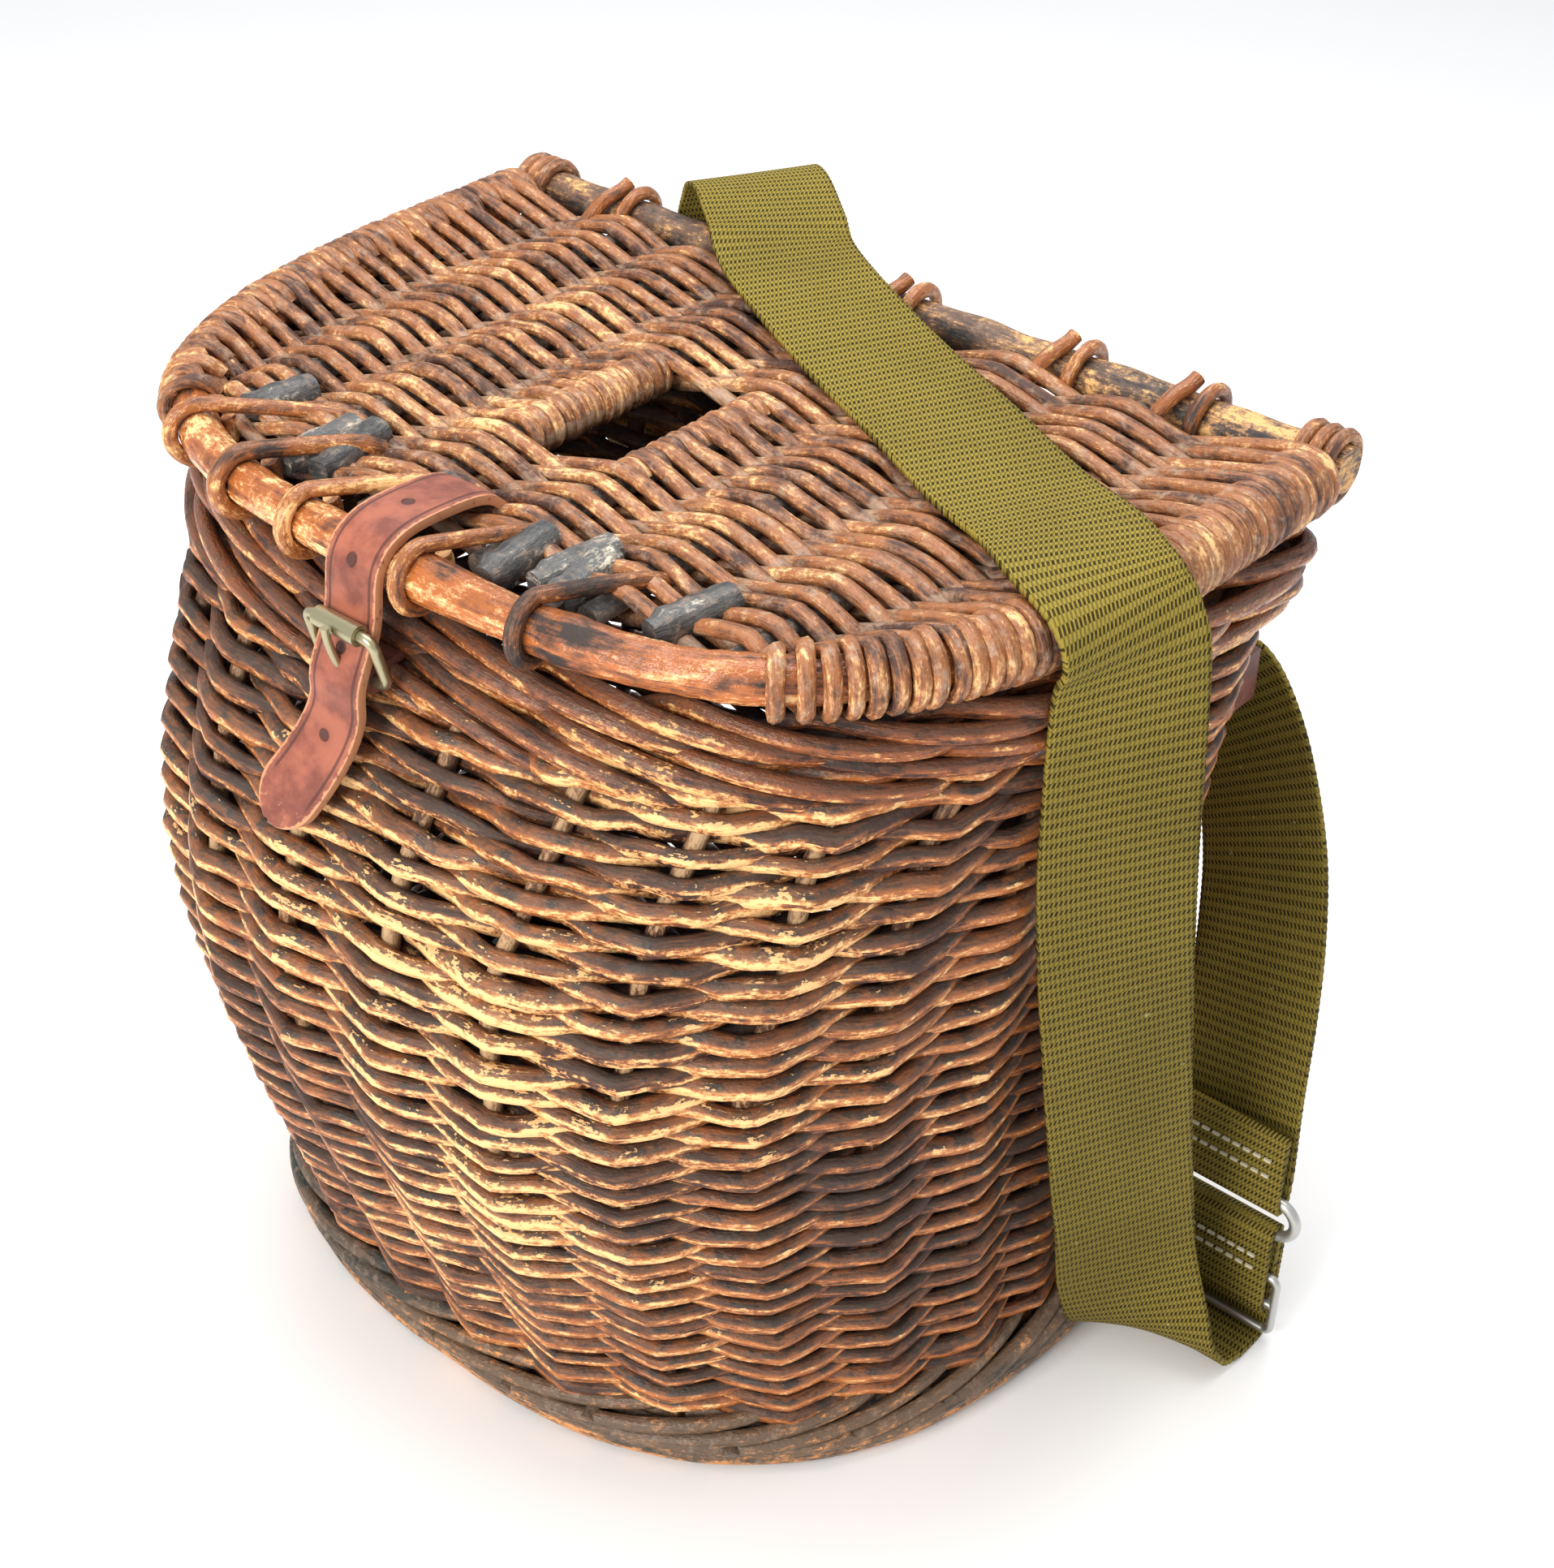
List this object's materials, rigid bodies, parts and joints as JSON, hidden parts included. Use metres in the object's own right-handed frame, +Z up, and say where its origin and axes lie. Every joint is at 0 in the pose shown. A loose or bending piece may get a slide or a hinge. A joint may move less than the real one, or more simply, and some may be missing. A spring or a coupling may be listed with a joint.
{
  "type": "wicker fishing creel",
  "caption": "Bellied willow fishing creel with a hinged woven lid, a fish slot, a leather closing strap on a roller buckle and a webbing shoulder strap.",
  "frame": {"origin": "middle of the foot border's flat underside, on the surface the creel stands on", "axes": "+Z up through the lid, +Y towards the flat back with the lid's hinge, so the bellied front faces -Y, and +X along the width to the creel's right side"},
  "size_m": [0.3472, 0.2837, 0.294],
  "materials": {
    "willow": "varnished willow, worn pale on the high spots",
    "dark_willow": "dark stained willow, dull",
    "leather": "waxed red-brown strap leather, creased and scuffed",
    "aged_brass": "weathered, dull greenish",
    "webbing": "olive twill webbing, matte",
    "thread": "pale waxed thread",
    "grey_wire": "dull grey plated wire"
  },
  "bodies": {
    "basket": {"foot_border": "dark_willow", "base_sticks": "dark_willow", "base_weave": "dark_willow", "side_stakes": "dark_willow", "wall_weave": "willow", "waling_band": "willow", "rim_border": "willow", "hinge_loop_1": "willow", "hinge_loop_2": "willow", "hinge_loop_3": "willow", "hinge_loop_4": "willow", "buckle_chape": "leather", "chape_peg": "dark_willow", "back_loop_left": "leather", "back_loop_right": "leather", "strap_long": "webbing", "strap_bend": "webbing", "strap_tab": "webbing", "tab_stitching": "thread", "strap_rear": "webbing", "rear_stitching": "thread", "strap_slider": "grey_wire"},
    "lid": {"lid_bow_rod": "willow", "lid_back_rod": "dark_willow", "lid_stakes": "dark_willow", "lid_weave": "willow", "slot_wrap_left": "willow", "slot_wrap_right": "willow", "side_wrap_left": "willow", "side_wrap_right": "willow", "front_ties": "willow", "corner_lashing_left": "willow", "corner_lashing_right": "willow", "closing_strap": "leather"},
    "buckle": {"buckle_frame": "aged_brass"},
    "prong": {"buckle_prong": "aged_brass"},
    "roller": {"buckle_roller": "aged_brass"},
    "ring": {"strap_ring": "grey_wire"}
  },
  "joints": [
    {"name": "lid_hinge", "type": "hinge", "parent": "basket", "child": "lid", "pos_m": [0, 0.1171, 0.2747], "axis": [-1, 0, 0], "range_deg": [0, 105], "deforming": ["strap_long", "closing_strap"]},
    {"name": "buckle_swing", "type": "hinge", "parent": "basket", "child": "buckle", "pos_m": [-0.0045, -0.09103, 0.248], "axis": [1, 0, 0], "range_deg": [0, 70], "deforming": ["closing_strap"]},
    {"name": "prong_swing", "type": "hinge", "parent": "buckle", "child": "prong", "pos_m": [-0.0045, -0.09103, 0.248], "axis": [1, 0, 0], "range_deg": [0, 55], "deforming": ["closing_strap"]},
    {"name": "roller_spin", "type": "hinge", "parent": "buckle", "child": "roller", "pos_m": [-0.0045, -0.09466, 0.26255], "axis": [1, 0, 0], "continuous": true},
    {"name": "ring_swing", "type": "hinge", "parent": "basket", "child": "ring", "pos_m": [0.1645, 0.08, 0.045], "axis": [1, 0, 0], "range_deg": [-15, 15], "deforming": ["strap_rear"]}
  ]
}
